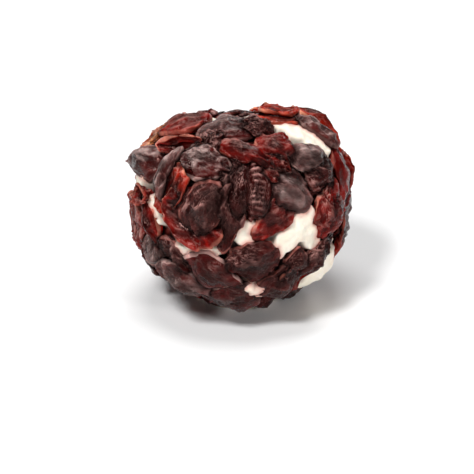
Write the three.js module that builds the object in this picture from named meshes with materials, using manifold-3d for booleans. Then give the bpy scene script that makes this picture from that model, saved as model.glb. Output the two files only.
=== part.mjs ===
// A ball of fresh cheese rolled in dried cranberries, about 60 mm across, standing on a flat spot.
// Millimetres, +Z up. The origin is on the table, under the middle of the ball.
// The cheese is one solid. Each cranberry is a closed leathery pocket pressed into it, cut back
// where a berry that lies over it needs the room. The side that faces -Y is laid out berry by
// berry. The far side and the underside are filled by a spiral of stuck-together pairs.

import * as THREE from 'three';
import { mergeVertices } from 'three/addons/utils/BufferGeometryUtils.js';
import Module from 'manifold-3d';

const wasm = await Module();
wasm.setup();

const { degToRad, radToDeg, smoothstep } = THREE.MathUtils;

// Driving dimensions of the ball.
const BED_HALF_WIDTH = 27.0; // where the middles of the berries lie, from the ball's middle
const BED_HALF_HEIGHT = 24.4;
const BED_POWER = 2.35; // 2 is an ellipsoid, more is squarer at the shoulders
const MIDDLE_HEIGHT = 26.0; // of the ball's middle above the table
const GAP = 0.3; // clearance between neighbours

// The cheese.
const CHEESE_RISE = 0.3; // how far bare cheese stands out past the bed
const CHEESE_DETAIL = 9; // an icosahedron's faces are split into (9 + 1) squared
const FOOT_SWELL = 3.0; // the bare foot sags this much, and the table cuts it flat
const FOOT_ANGLES = [17, 32]; // degrees from straight down: full sag inside, none outside
const FOOT_CLEAR = 11.5; // no berry's middle lies nearer the middle of the foot than this
const PRESS_MARGIN = 5.6; // degrees round a berry where the cheese stays pressed down
const CHEESE_WHITE = 0xefe6d6;

// The skin of a dried cranberry.
const LOBES = [[3, 0.05], [5, 0.03]]; // how many round the rim, and how deep, as a share of its half size
const TAPER = 0.25; // one end is up to this share narrower, the other as much wider
const CURL = 0.7; // opposite quarters of the rim are lifted and sunk up to this much
const RIM_ROOM = 1.6; // times as much clearance beyond the thin rim
const REACH_MARGIN = 3; // a berry's corners lie at most this far past its half length
const SMOOTHING = 0.08; // the corners that a cut leaves closer to a flat than this are dropped
const FRONT_FACETS = [11, 5]; // round the rim, and from pole to pole
const BACK_FACETS = [9, 4];
const BERRY_RED = 0x4a1518;

// The laid-out side is given as it is seen from this height above the horizon.
const SEEN_FROM = degToRad(25);
const SEEN_RIGHT = new THREE.Vector3(1, 0, 0);
const SEEN_UP = new THREE.Vector3(0, Math.sin(SEEN_FROM), Math.cos(SEEN_FROM));
const TO_VIEWER = new THREE.Vector3(0, -Math.cos(SEEN_FROM), Math.sin(SEEN_FROM));

// Bare cheese that reaches the outline low on the right. It spreads this many degrees, and in its
// middle it bulges out between the berries by its rise.
const BARE_CHEEK = { at: [20.5, -17], spread: 20, rise: 1.0 };

// Where the ball swells or dips, as seen: rise in millimetres, spread in degrees.
const SWELLS = [
  { at: [20, 19], rise: 1.6, spread: 34 }, // shoulder on the right
  { at: [-21, 16], rise: 0.9, spread: 30 }, // shoulder on the left
  { at: [19, -19], rise: -1.2, spread: 26 }, // flatter low on the right
  { at: [-19, -18], rise: 0.4, spread: 24 }, // cheek low on the left
  { at: [-3, 27], rise: -3.2, spread: 26 }, // dip across the top
];

// The forms that cranberries dry into. thick is through the middle, cup is how far the rim
// stands over the middle, fold lifts both long sides, and edge under 1 makes a blunt rim.
const FORMS = {
  plump: { thick: 4.6, cup: -0.9, fold: 0, edge: 0.95 },
  dome: { thick: 3.0, cup: -1.5, fold: 0, edge: 0.8 },
  leaf: { thick: 2.2, cup: 0.2, fold: 0, edge: 0.7 },
  shell: { thick: 2.1, cup: 2.2, fold: 0.4, edge: 0.6 },
  roll: { thick: 4.4, cup: -0.4, fold: -0.8, edge: 0.9 },
};

// The laid-out berries, from the outermost to the innermost. at is how far across and up from the
// ball's middle a berry is seen, turn is its long axis's angle from level, size is its length and
// width, and lift is its height over the bed. lean turns it about its long axis and nod about its
// short one. beyond puts it that many degrees past the outline. A berry with on sticks to the
// berry of that name, and the two are one piece.
const LAID_OUT = [
  { name: 'cup_top', at: [-10, 11.2], turn: -27, size: [16, 9.5], form: 'dome', lift: 2.4, lean: 8 },
  { name: 'knot', on: 'cup_top', at: [-7.1, 16.4], turn: 70, size: [8, 6.5], form: 'plump', lift: 0.9 },
  { name: 'clam_upper', at: [18.1, 11.9], turn: 12, size: [13, 8], form: 'dome', lift: 2.4, lean: 8 },
  { name: 'slanting_roll', at: [1, 13.2], turn: -33, size: [15, 6], form: 'roll', lift: 2 },
  { name: 'cup_heart', at: [-9.8, -1.1], turn: 58, size: [14.5, 11], form: 'dome', lift: 2.2 },
  { name: 'cup_left', at: [-19.4, 8], turn: 64, size: [14, 4.8], form: 'roll', lift: 1.9, lean: -14 },
  { name: 'lining', on: 'cup_left', at: [-18.7, 2.6], turn: 72, size: [14.5, 7], form: 'leaf', lift: 0.5 },
  { name: 'lens', at: [-7.1, -17.8], turn: -28, size: [16, 11], form: 'dome', lift: 1.7 },
  { name: 'tall_wrinkled', at: [2.2, 2.9], turn: 90, size: [15, 10.6], form: 'plump', lift: 1.2 },
  { name: 'left_wedge', at: [-24.8, 11.8], turn: -30, size: [13.5, 10.5], form: 'plump', lift: 1.5, nod: 20 },
  { name: 'round_end', at: [9.6, 14.8], turn: -20, size: [11.5, 9.5], form: 'plump', lift: 1 },
  { name: 'bottom_round', at: [2.9, -14.9], turn: -6, size: [14, 11], form: 'plump', lift: 1 },
  { name: 'right_wrinkled', at: [23.8, -1.2], turn: -112, size: [15, 13], form: 'plump', lift: 0.9 },
  { name: 'clam_lower', at: [19.8, 9.6], turn: -8, size: [13, 10.5], form: 'plump', lift: 0.8 },
  { name: 'top_lump', at: [-3, 20.4], turn: -6, size: [15, 13], form: 'plump', lift: 0.9 },
  { name: 'top_crumple', on: 'top_lump', at: [4, 20.4], turn: -20, size: [10, 9], form: 'plump', lift: 1 },
  { name: 'grey_strip', at: [20, 20.3], turn: -15, size: [13, 5.2], form: 'roll', lift: 1.8 },
  { name: 'lower_right_dark', at: [19.6, -14.2], turn: 19, size: [15.5, 6.8], form: 'plump', lift: 0.8 },
  { name: 'round_bit', on: 'lower_right_dark', at: [14.6, -14.2],
    turn: 17, size: [7, 6], form: 'plump', lift: 0.8 },
  { name: 'left_strip', at: [-23.4, -4.5], turn: -62, size: [13, 4.8], form: 'roll', lift: 1.1 },
  { name: 'left_grey', at: [-22.2, -12.4], turn: 60, size: [8.8, 8.4], form: 'plump', lift: 0.8 },
  { name: 'lower_long_dark', at: [10.2, -20.2], turn: 58, size: [15, 9.5], form: 'plump', lift: 0.6 },
  { name: 'top_left_roll', at: [-14.6, 21.8], turn: 10, size: [13.5, 10], form: 'roll', lift: 1 },
  { name: 'cup_right', at: [-3.4, -3.2], turn: 78, size: [16.5, 9], form: 'leaf', lift: 0.8 },
  { name: 'inner_dark', on: 'cup_right', at: [-2.6, 6.8], turn: 70, size: [9, 7.5], form: 'leaf', lift: 0.5 },
  { name: 'cup_lower', at: [-11.8, -4], turn: -35, size: [17.5, 13], form: 'shell', lift: 0 },
  { name: 'top_back_red', at: [10.2, 24.4], turn: -5, size: [9.5, 7], form: 'leaf', lift: 1.5 },
  { name: 'bottom_left_long', at: [-15, -20], turn: -19, size: [15, 8.5], form: 'roll', lift: 2 },
  { name: 'bottom_red', at: [-1.8, -24.8], turn: -12, size: [14, 12], form: 'dome', lift: 1.6 },
  { name: 'left_small', at: [-23.8, 3.2], turn: -10, size: [7, 5.2], form: 'shell', lift: 0.5 },
  { name: 'smooth_grey', at: [12.4, 4], turn: -15, size: [14, 10], form: 'dome', lift: 0.9 },
  { name: 'red_bit', on: 'smooth_grey', at: [9, 9], turn: -20, size: [8, 7], form: 'leaf', lift: 0.5 },
  { name: 'back_right_strip', at: [20.9, 23.4], turn: -18, size: [15.5, 4.6], form: 'roll', lift: 1.6 },
  { name: 'right_edge_red', at: [27.3, 9.4], turn: -72, size: [16, 10.5], form: 'dome', lift: 0.9 },
  { name: 'curled_leaf', at: [-14.4, 15], turn: -18, size: [13, 4.2], form: 'shell', lift: 0.5, lean: 35 },
  { name: 'left_scrap', on: 'curled_leaf', at: [-22.4, 17.4],
    turn: 20, size: [12, 7], form: 'leaf', lift: 0.6 },
  { name: 'lower_long_red', at: [14.8, -18.4], turn: 42, size: [14, 9], form: 'leaf', lift: 0.3 },
  { name: 'top_back_flat', at: [-3, 23.8], turn: 3, size: [14.5, 11], form: 'leaf', lift: 0.1 },
  { name: 'top_back_under', at: [10.6, 22.8], turn: 5, size: [13, 10], form: 'leaf', lift: 0.2 },
  { name: 'left_outer', at: [-26.9, -4.2], turn: -80, size: [13.5, 10], form: 'leaf', lift: 1 },
  { name: 'red_under', at: [8.8, -3.6], turn: 38, size: [13.5, 7.6], form: 'leaf', lift: 0.1 },
  { name: 'right_sliver', at: [26.8, -6.6], turn: 70, size: [14, 10], form: 'leaf', lift: 0.4 },
  { name: 'under_front', at: [-7.5, -27], beyond: 14, turn: 12, size: [13, 9], form: 'plump', lift: -1 },
  { name: 'under_middle', on: 'under_front', at: [4.5, -27], beyond: 4,
    turn: -14, size: [12.5, 9.5], form: 'plump', lift: -0.8 },
  { name: 'under_right', at: [14, -23.5], beyond: 21, turn: 120, size: [13, 11], form: 'plump', lift: 0.5 },
  { name: 'under_cheek', on: 'under_right', at: [20, -18.5], beyond: 27,
    turn: 130, size: [12, 11], form: 'plump', lift: 0.5 },
  { name: 'ridge_dark', at: [-16.8, -14.6], turn: -40, size: [12, 9], form: 'plump', lift: 0.1 },
];

// The pairs on the far side lie on a spiral round the axis that points away from the viewer.
const PAIRS = 24;
const SPIRAL_REACH = 90; // degrees from that axis to the last pair
const SPIRAL_PHASE = -0.22; // radians that turn the spiral, so that a pair lies in front of the foot
const GOLDEN_ANGLE = Math.PI * (3 - Math.sqrt(5));
const PAIR_SPACING = 7.6; // between the middles of the two berries of a pair
const PAIR_SWING = 0.5; // radians that the line of a pair turns at most, either way
const BERRY_SWING = 0.6; // radians that a berry turns at most from square to that line
const BERRY_TILT = 8; // degrees that it leans and nods at most, either way
const PAIR_LENGTH = [12.5, 15.5];
const PAIR_WIDTH = [10, 12.5];
const ROLL_NARROWING = 0.9;
const PAIR_LIFT = [-0.7, 0.5];
const PAIR_FORMS = ['plump', 'dome', 'plump', 'leaf', 'roll', 'shell'];
const FIRST_PAIR_SEED = 100;

// What each fixed random number is for.
const DRAW = {
  pairTurn: 1,
  pairForm: 2,
  turn: 3,
  length: 4,
  width: 5,
  lift: 6,
  lean: 7,
  nod: 8,
  lobes: 12, // and 13
  taper: 14,
  curl: 15,
};

// A fixed pseudo-random number from 0 to 1 for a seed and a use.
function chance(seed, use) {
  const wave = Math.sin(seed * 12.9898 + use * 78.233) * 43758.5453;
  return wave - Math.floor(wave);
}

// The same from -1 to 1.
function swing(seed, use) {
  return 2 * chance(seed, use) - 1;
}

function between([low, high], share) {
  return low + (high - low) * share;
}

// A direction from what the viewer sees, towards or away from them.
function seenDirection(across, up, towards) {
  return new THREE.Vector3()
    .addScaledVector(SEEN_RIGHT, across)
    .addScaledVector(SEEN_UP, up)
    .addScaledVector(TO_VIEWER, towards);
}

const SWELL_DIRECTIONS = SWELLS.map(({ at: [across, up] }) => {
  const towards = Math.sqrt(Math.max(0, BED_HALF_WIDTH ** 2 - across ** 2 - up ** 2));
  return seenDirection(across, up, towards).normalize();
});

// The bed's distance from the ball's middle along a unit direction.
function bedRadius(direction) {
  const level = Math.hypot(direction.x, direction.y) / BED_HALF_WIDTH;
  const upright = Math.abs(direction.z) / BED_HALF_HEIGHT;
  const plain = (level ** BED_POWER + upright ** BED_POWER) ** (-1 / BED_POWER);
  return SWELLS.reduce((radius, swell, i) => {
    const angle = radToDeg(SWELL_DIRECTIONS[i].angleTo(direction));
    return radius + swell.rise * Math.exp(-((angle / swell.spread) ** 2));
  }, plain);
}

function outsideBed(point) {
  return point.length() - bedRadius(point.clone().normalize());
}

// The outward normal of the bed at a direction, by small differences.
function bedNormal(direction) {
  const step = 0.01;
  const at = direction.clone().multiplyScalar(bedRadius(direction));
  const slope = (x, y, z) => {
    const offset = new THREE.Vector3(x, y, z).multiplyScalar(step);
    return outsideBed(at.clone().add(offset)) - outsideBed(at.clone().sub(offset));
  };
  return new THREE.Vector3(slope(1, 0, 0), slope(0, 1, 0), slope(0, 0, 1)).normalize();
}

// The direction from the ball's middle to the bed point seen at across and up. A place past
// the outline is drawn in to it.
function directionSeenAt(across, up) {
  const depth = 20; // the line of sight passes deepest through the bed within this of its middle
  const step = 0.25;
  const halvings = 40;
  const pointAt = (towards) => seenDirection(across, up, towards);
  let deepest = 0;
  for (let towards = -depth; towards <= depth; towards += step) {
    if (outsideBed(pointAt(towards)) < outsideBed(pointAt(deepest))) deepest = towards;
  }
  if (outsideBed(pointAt(deepest)) >= 0) return pointAt(deepest).normalize();
  let inside = deepest;
  let outside = deepest + 2 * BED_HALF_WIDTH;
  for (let i = 0; i < halvings; i += 1) {
    const middle = (inside + outside) / 2;
    if (outsideBed(pointAt(middle)) < 0) inside = middle;
    else outside = middle;
  }
  return pointAt(inside).normalize();
}

// The direction of the bed point from which a lifted berry's middle is seen at its place, or
// that lies this many degrees beyond the outline there.
function directionUnder({ at: [across, up], lift, beyond = 0 }) {
  const rounds = 4;
  let direction = directionSeenAt(across, up);
  for (let i = 0; i < rounds; i += 1) {
    const normal = bedNormal(direction);
    direction = directionSeenAt(across - lift * normal.dot(SEEN_RIGHT), up - lift * normal.dot(SEEN_UP));
  }
  const axis = new THREE.Vector3().crossVectors(TO_VIEWER, direction).normalize();
  return direction.applyAxisAngle(axis, degToRad(beyond));
}

// The frame of a berry: x along it, y across it, z out of the ball.
function berryFrame(direction, along, { lift, lean = 0, nod = 0 }) {
  const normal = bedNormal(direction);
  const x = along.clone().addScaledVector(normal, -along.dot(normal)).normalize();
  const y = new THREE.Vector3().crossVectors(normal, x);
  const place = direction.clone().multiplyScalar(bedRadius(direction)).addScaledVector(normal, lift);
  const tilt = new THREE.Matrix4()
    .makeRotationX(degToRad(lean))
    .premultiply(new THREE.Matrix4().makeRotationY(degToRad(nod)));
  return new THREE.Matrix4().makeBasis(x, y, normal).setPosition(place).multiply(tilt);
}

function laidOutBerry(row, number) {
  const along = seenDirection(Math.cos(degToRad(row.turn)), Math.sin(degToRad(row.turn)), 0);
  return {
    form: FORMS[row.form],
    size: row.size,
    seed: number + 1,
    facets: FRONT_FACETS,
    frame: berryFrame(directionUnder(row), along, row),
    node: `cranberry_${row.on ?? row.name}`,
  };
}

// A pair's place on the spiral, from its number.
function spiralDirection(pair) {
  const away = 1 - ((1 - Math.cos(degToRad(SPIRAL_REACH))) * (pair + 0.5)) / PAIRS;
  const round = pair * GOLDEN_ANGLE + SPIRAL_PHASE;
  const side = Math.sqrt(1 - away ** 2);
  return seenDirection(side * Math.cos(round), side * Math.sin(round), -away).normalize();
}

// Two berries of one form, side by side.
function pairOfBerries(pair) {
  const direction = spiralDirection(pair);
  const aside = new THREE.Vector3().crossVectors(TO_VIEWER, direction).normalize();
  aside.applyAxisAngle(direction, PAIR_SWING * swing(pair, DRAW.pairTurn));
  const form = PAIR_FORMS[Math.floor(PAIR_FORMS.length * chance(pair, DRAW.pairForm))];
  return [-1, 1].map((sign) => {
    const seed = FIRST_PAIR_SEED + 2 * pair + (sign + 1) / 2;
    const offset = (sign * PAIR_SPACING) / 2 / BED_HALF_WIDTH;
    const place = direction.clone().addScaledVector(aside, offset).normalize();
    const along = new THREE.Vector3().crossVectors(aside, direction);
    along.applyAxisAngle(direction, BERRY_SWING * swing(seed, DRAW.turn));
    const length = between(PAIR_LENGTH, chance(seed, DRAW.length));
    const width = between(PAIR_WIDTH, chance(seed, DRAW.width)) * (form === 'roll' ? ROLL_NARROWING : 1);
    const set = {
      lift: between(PAIR_LIFT, chance(seed, DRAW.lift)),
      lean: BERRY_TILT * swing(seed, DRAW.lean),
      nod: BERRY_TILT * swing(seed, DRAW.nod),
    };
    return {
      form: FORMS[form],
      size: [length, width],
      seed,
      facets: BACK_FACETS,
      frame: berryFrame(place, along, set),
      node: `cranberry_pair_${String(pair + 1).padStart(2, '0')}`,
    };
  });
}

// Degrees from the middle of the bare cheek to a place.
function fromCheek(place) {
  return radToDeg(seenDirection(...BARE_CHEEK.at, 0).angleTo(place));
}

// Whether a berry would lie on the foot or on the bare cheek.
function onBareCheese({ frame }) {
  const place = new THREE.Vector3().setFromMatrixPosition(frame);
  const onFoot = place.z < 0 && Math.hypot(place.x, place.y) < FOOT_CLEAR;
  return onFoot || fromCheek(place) < BARE_CHEEK.spread;
}

// A point of the berry's skin in its own frame, for a point of the unit sphere. grow is the
// clearance that is added all round.
function skinPoint(unit, { form, size: [length, width], seed }, grow) {
  const round = Math.atan2(unit.y, unit.x);
  const lobes = LOBES.reduce((sum, [count, depth], i) => {
    const phase = 6 * chance(seed, DRAW.lobes + i);
    return sum + depth * Math.sin(count * round + phase);
  }, 1);
  const taper = 1 - TAPER * swing(seed, DRAW.taper) * unit.x;
  const u = unit.x * (1 + (2 * RIM_ROOM * grow) / length);
  const v = unit.y * (1 + (2 * RIM_ROOM * grow) / width);
  const x = (length / 2) * lobes * u;
  const y = (width / 2) * lobes * taper * v;
  const hug = (x ** 2 + y ** 2) / (2 * BED_HALF_WIDTH);
  const curl = CURL * swing(seed, DRAW.curl) * u * v;
  const middle = form.cup * (u ** 2 + v ** 2) + form.fold * Math.abs(v) + curl - hug;
  const half = (form.thick / 2 + grow) * Math.abs(unit.z) ** form.edge;
  return new THREE.Vector3(x, y, middle + Math.sign(unit.z) * half);
}

// A closed sphere whose corners are shared, moved corner by corner by a rule.
function movedSphere(geometry, rule) {
  geometry.deleteAttribute('normal');
  geometry.deleteAttribute('uv');
  const moved = mergeVertices(geometry, 1e-4);
  const corners = moved.attributes.position;
  for (let i = 0; i < corners.count; i += 1) {
    const corner = rule(new THREE.Vector3().fromBufferAttribute(corners, i));
    corners.setXYZ(i, corner.x, corner.y, corner.z);
  }
  return moved;
}

function solidOf(geometry) {
  const vertProperties = geometry.attributes.position.array;
  const triVerts = new Uint32Array(geometry.index.array);
  return new wasm.Manifold(new wasm.Mesh({ numProp: 3, vertProperties, triVerts }));
}

function geometryOf(solid) {
  const { vertProperties, triVerts } = solid.getMesh();
  return new THREE.BufferGeometry()
    .setAttribute('position', new THREE.BufferAttribute(vertProperties, 3))
    .setIndex(new THREE.BufferAttribute(triVerts, 1));
}

// A sphere with few facets has no ring at its waist, so its widest ring is drawn out to the rim.
function berrySolid(berry, grow) {
  const [round, poleToPole] = berry.facets;
  const widestRing = Math.sin((Math.PI * Math.ceil(poleToPole / 2)) / poleToPole);
  const sphere = new THREE.SphereGeometry(1, round, poleToPole).rotateX(Math.PI / 2);
  const drawnOut = new THREE.Vector3(1 / widestRing, 1 / widestRing, 1);
  const skin = movedSphere(sphere, (unit) => skinPoint(unit, berry, grow).multiply(drawnOut));
  return solidOf(skin.applyMatrix4(berry.frame));
}

function joined(solids) {
  return solids.reduce((sum, solid) => sum.add(solid));
}

function aboveTable(solid) {
  return solid.trimByPlane([0, 0, 1], -MIDDLE_HEIGHT);
}

// The solid's largest body: what a cut leaves loose is dropped.
function largestBody(solid) {
  return solid.decompose().reduce((best, body) => (body.volume() > best.volume() ? body : best));
}

// Whether two berries lie so close that they might touch.
function near(one, other) {
  const a = new THREE.Vector3().setFromMatrixPosition(one.frame);
  const b = new THREE.Vector3().setFromMatrixPosition(other.frame);
  return a.distanceTo(b) < (one.size[0] + other.size[0]) / 2 + 2 * REACH_MARGIN;
}

// One solid for each node: the berries of a node are joined, and each node is cut back by the
// room that the berries before it need.
function berryNodes(berries) {
  const laid = [];
  return [...new Set(berries.map((berry) => berry.node))].map((name) => {
    const members = berries.filter((berry) => berry.node === name);
    const over = laid.filter((upper) => members.some((berry) => near(berry, upper.berry)));
    const whole = joined(members.map((berry) => berrySolid(berry, 0)));
    const cut = over.reduce((rest, upper) => rest.subtract(upper.room), whole);
    const rooms = members.map((berry) => berrySolid(berry, GAP));
    laid.push(...members.map((berry, i) => ({ berry, room: rooms[i] })));
    return {
      name,
      frame: members[0].frame,
      room: joined(rooms),
      solid: largestBody(aboveTable(cut).simplify(SMOOTHING)),
    };
  });
}

// Measures how far it is from the ball's middle to the nearest berry along a direction, which is
// Infinity where there is none.
function skinTester(nodes) {
  const slack = 0.01; // radians
  const triangles = [];
  for (const { solid } of nodes) {
    const { vertProperties, triVerts } = solid.getMesh();
    const cornerAt = (i) => new THREE.Vector3().fromArray(vertProperties, 3 * triVerts[i]);
    for (let i = 0; i < triVerts.length; i += 3) {
      const corners = [cornerAt(i), cornerAt(i + 1), cornerAt(i + 2)];
      const middle = corners[0].clone().add(corners[1]).add(corners[2]).normalize();
      const spread = Math.max(...corners.map((corner) => middle.angleTo(corner)));
      triangles.push({ corners, middle, reach: Math.cos(Math.min(spread + slack, Math.PI / 2)) });
    }
  }
  const ray = new THREE.Ray();
  const hit = new THREE.Vector3();
  return (direction) => {
    ray.direction.copy(direction);
    return triangles.reduce((nearest, { corners, middle, reach }) => {
      if (middle.dot(direction) < reach) return nearest;
      if (!ray.intersectTriangle(...corners, false, hit)) return nearest;
      return Math.min(nearest, hit.length());
    }, Infinity);
  };
}

// A direction with its neighbours, four half the margin away and four at the margin.
function probesRound(direction) {
  const across = new THREE.Vector3(-direction.z, direction.x, direction.y).cross(direction).normalize();
  const up = new THREE.Vector3().crossVectors(direction, across);
  const neighbours = Array.from({ length: 8 }, (_, i) => {
    const reach = Math.tan(degToRad(PRESS_MARGIN) * (i % 2 ? 1 : 0.5));
    const round = (Math.PI * i) / 4;
    return direction.clone()
      .addScaledVector(across, reach * Math.cos(round))
      .addScaledVector(up, reach * Math.sin(round))
      .normalize();
  });
  return [direction, ...neighbours];
}

// The cheese: bare where no berry lies, pressed down under and close round each berry, and flat
// where it stands.
function cheeseSolid(nodes) {
  const skinAlong = skinTester(nodes);
  const sphere = movedSphere(new THREE.IcosahedronGeometry(1, CHEESE_DETAIL), (unit) => {
    const direction = unit.normalize();
    const fromDown = radToDeg(Math.acos(-direction.z));
    const sag = FOOT_SWELL * (1 - smoothstep(fromDown, ...FOOT_ANGLES));
    const bulge = BARE_CHEEK.rise * (1 - smoothstep(fromCheek(direction), 0, BARE_CHEEK.spread));
    const bare = bedRadius(direction) + CHEESE_RISE + sag + bulge;
    const pressed = Math.min(...probesRound(direction).map(skinAlong)) - GAP;
    return direction.clone().multiplyScalar(Math.min(bare, pressed));
  });
  const rough = aboveTable(solidOf(sphere));
  const touched = nodes.filter(({ solid }) => rough.intersect(solid).volume() > 0);
  return largestBody(touched.reduce((rest, { room }) => rest.subtract(room), rough));
}

// A mesh whose place is that of the berry, with its corners given round it.
function meshOf(name, solid, frame, color, roughness) {
  const geometry = geometryOf(solid).applyMatrix4(frame.clone().invert());
  const mesh = new THREE.Mesh(geometry, new THREE.MeshStandardMaterial({ color, roughness, metalness: 0 }));
  mesh.name = name;
  mesh.applyMatrix4(frame);
  return mesh;
}

const laidOut = LAID_OUT.map(laidOutBerry);
const paired = Array.from({ length: PAIRS }, (_, pair) => pairOfBerries(pair)).flat();
const nodes = berryNodes([...laidOut, ...paired.filter((berry) => !onBareCheese(berry))]);

const ball = new THREE.Group();
ball.position.z = MIDDLE_HEIGHT;
ball.add(meshOf('cheese', cheeseSolid(nodes), new THREE.Matrix4(), CHEESE_WHITE, 0.7));
nodes.forEach(({ name, solid, frame }) => ball.add(meshOf(name, solid, frame, BERRY_RED, 0.4)));

const object = new THREE.Group();
object.add(ball);

export default object;
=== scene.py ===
# %% [markdown]
# # A ball of fresh cheese rolled in dried cranberries
#
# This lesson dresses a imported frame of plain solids: one ball of cheese and 59 solids of dried
# cranberries. Every solid is replaced by a finer mesh of the same form in the same place, with the
# wrinkles, thin curled rims, stains and finishes that the solid leaves out. The frame fixes all
# sizes. Seven berries lie up to 1.3 mm beside their solids and four a little deeper, where that
# fits the real ball better.

# %% Load the frame
import math

import bmesh
import bpy
import numpy as np
from mathutils import Matrix, Vector, noise
from mathutils.bvhtree import BVHTree


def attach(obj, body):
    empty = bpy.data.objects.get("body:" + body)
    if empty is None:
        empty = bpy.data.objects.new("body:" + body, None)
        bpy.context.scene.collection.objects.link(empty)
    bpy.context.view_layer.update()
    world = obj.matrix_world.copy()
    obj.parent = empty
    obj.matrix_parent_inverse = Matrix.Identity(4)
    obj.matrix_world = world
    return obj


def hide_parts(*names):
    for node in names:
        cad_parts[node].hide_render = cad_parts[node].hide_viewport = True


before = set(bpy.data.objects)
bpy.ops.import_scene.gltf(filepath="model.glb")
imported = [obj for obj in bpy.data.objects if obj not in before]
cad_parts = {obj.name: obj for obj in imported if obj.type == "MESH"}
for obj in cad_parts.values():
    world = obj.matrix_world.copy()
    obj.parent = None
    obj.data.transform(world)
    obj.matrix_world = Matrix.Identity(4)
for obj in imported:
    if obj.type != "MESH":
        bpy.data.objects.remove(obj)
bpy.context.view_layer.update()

print("solids in the frame:", len(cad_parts))

# %% [markdown]
# ## Camera
#
# A small food is seen from near, but a near camera swells what is in front. So a long lens looks
# down on the ball at 25 degrees from a good arm's length away. The same three directions, right,
# up and towards the viewer, later say where each berry lies.

# %% Camera
MM = 0.001
MIDDLE = Vector((0, 0, 26.0))  # of the ball, in millimetres, as all the sizes below
SEEN_FROM = math.radians(25)
SEEN_RIGHT = Vector((1, 0, 0))
SEEN_UP = Vector((0, math.sin(SEEN_FROM), math.cos(SEEN_FROM)))
TO_VIEWER = Vector((0, -math.cos(SEEN_FROM), math.sin(SEEN_FROM)))
VIEW_DISTANCE = 700
VIEW_WIDTH = 125.1  # what the frame takes in at the ball's middle
VIEW_OFFSET = (-0.8, -8.4)  # from the ball's middle to the middle of the frame, right and up
SENSOR = 36

view_target = MIDDLE + SEEN_RIGHT * VIEW_OFFSET[0] + SEEN_UP * VIEW_OFFSET[1]
camera = bpy.data.objects.new("camera", bpy.data.cameras.new("camera"))
camera.location = (view_target + TO_VIEWER * VIEW_DISTANCE) * MM
camera.rotation_euler = TO_VIEWER.to_track_quat("Z", "Y").to_euler()
camera.data.sensor_width = SENSOR
camera.data.lens = SENSOR * VIEW_DISTANCE / VIEW_WIDTH
bpy.context.scene.collection.objects.link(camera)
bpy.context.scene.camera = camera
print("lens in millimetres:", round(camera.data.lens, 1))

# %% [markdown]
# ## Light and floor
#
# A dark fruit skin shows its form only by what it reflects. So a wide panel overhead and a lower
# one behind put a dull sheen on all that faces up, a key high on the left models the form, a weak
# fill on the right opens the shadows, and a faint white world does the rest. Area lights are used
# because their size sets how soft a shadow is. The floor is plain pale paper.

# %% Lights
LIGHTS = [
    # name, azimuth and elevation in degrees, distance and side in millimetres, watts
    ("key", -30, 52, 2000, 420, 31.0),
    ("top_panel", 180, 84, 1500, 700, 12.0),
    ("back_panel", 160, 35, 2200, 600, 7.5),
    ("fill", 40, 25, 2200, 300, 13.0),
]

for name, azimuth, elevation, distance, side, watts in LIGHTS:
    lamp = bpy.data.lights.new(name, "AREA")
    lamp.size = side * MM
    lamp.energy = watts
    lamp_object = bpy.data.objects.new(name, lamp)
    turn, rise = math.radians(azimuth), math.radians(elevation)
    towards = Vector((math.sin(turn) * math.cos(rise), -math.cos(turn) * math.cos(rise), math.sin(rise)))
    lamp_object.location = (MIDDLE + towards * distance) * MM
    lamp_object.rotation_euler = towards.to_track_quat("Z", "Y").to_euler()
    bpy.context.scene.collection.objects.link(lamp_object)
print("lights:", len(LIGHTS))

# %% World and floor
WORLD_STRENGTH = 0.06
FLOOR_RADIUS = 3000


def linear(hex_colour):
    """An sRGB hex colour as linear red, green, blue and alpha."""
    channels = [int(hex_colour[i:i + 2], 16) / 255 for i in (1, 3, 5)]
    return [c / 12.92 if c <= 0.04045 else ((c + 0.055) / 1.055) ** 2.4 for c in channels] + [1.0]


world = bpy.data.worlds.new("pale_tent")
world.use_nodes = True
world.node_tree.nodes["Background"].inputs["Color"].default_value = linear("#ffffff")
world.node_tree.nodes["Background"].inputs["Strength"].default_value = WORLD_STRENGTH
bpy.context.scene.world = world
bpy.context.scene.view_settings.view_transform = "Standard"

floor_bm = bmesh.new()
bmesh.ops.create_circle(floor_bm, cap_ends=True, radius=FLOOR_RADIUS * MM, segments=64)
floor = bpy.data.objects.new("pale_floor", bpy.data.meshes.new("pale_floor"))
floor_bm.to_mesh(floor.data)
floor_bm.free()
bpy.context.scene.collection.objects.link(floor)
floor_paper = bpy.data.materials.new("matt_white_paper")  # so matt that nothing mirrors in it
floor_paper.use_nodes = True
floor_shader = floor_paper.node_tree.nodes["Principled BSDF"]
floor_shader.inputs["Base Color"].default_value = linear("#f8f8f8")
floor_shader.inputs["Roughness"].default_value = 0.9
floor.data.materials.append(floor_paper)
print("floor radius in metres:", FLOOR_RADIUS * MM)

# %% [markdown]
# ## Where each cranberry lies
#
# The solids in the frame follow a rule: the middles of the berries lie on a squarish ball with a
# few swells, the bed. A copy of a solid would bring only its few facets. So the lesson repeats the
# rule, and each fine berry gets the place and form of its solid. All sizes are millimetres, taken
# from the ball's middle.

# %% The bed
BED_HALF_WIDTH = 27.0
BED_HALF_HEIGHT = 24.4
BED_POWER = 2.35  # 2 would be an ellipsoid, and more is squarer
SWELLS = [
    # seen across and up, rise, spread in degrees
    (20, 19, 1.6, 34),
    (-21, 16, 0.9, 30),
    (19, -19, -1.2, 26),
    (-19, -18, 0.4, 24),
    (-3, 27, -3.2, 26),
]


def seen_direction(across, up, towards):
    return SEEN_RIGHT * across + SEEN_UP * up + TO_VIEWER * towards


def swell_direction(across, up):
    towards = math.sqrt(max(0, BED_HALF_WIDTH**2 - across**2 - up**2))
    return seen_direction(across, up, towards).normalized()


SWELL_DIRECTIONS = [swell_direction(across, up) for across, up, _, _ in SWELLS]


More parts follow.
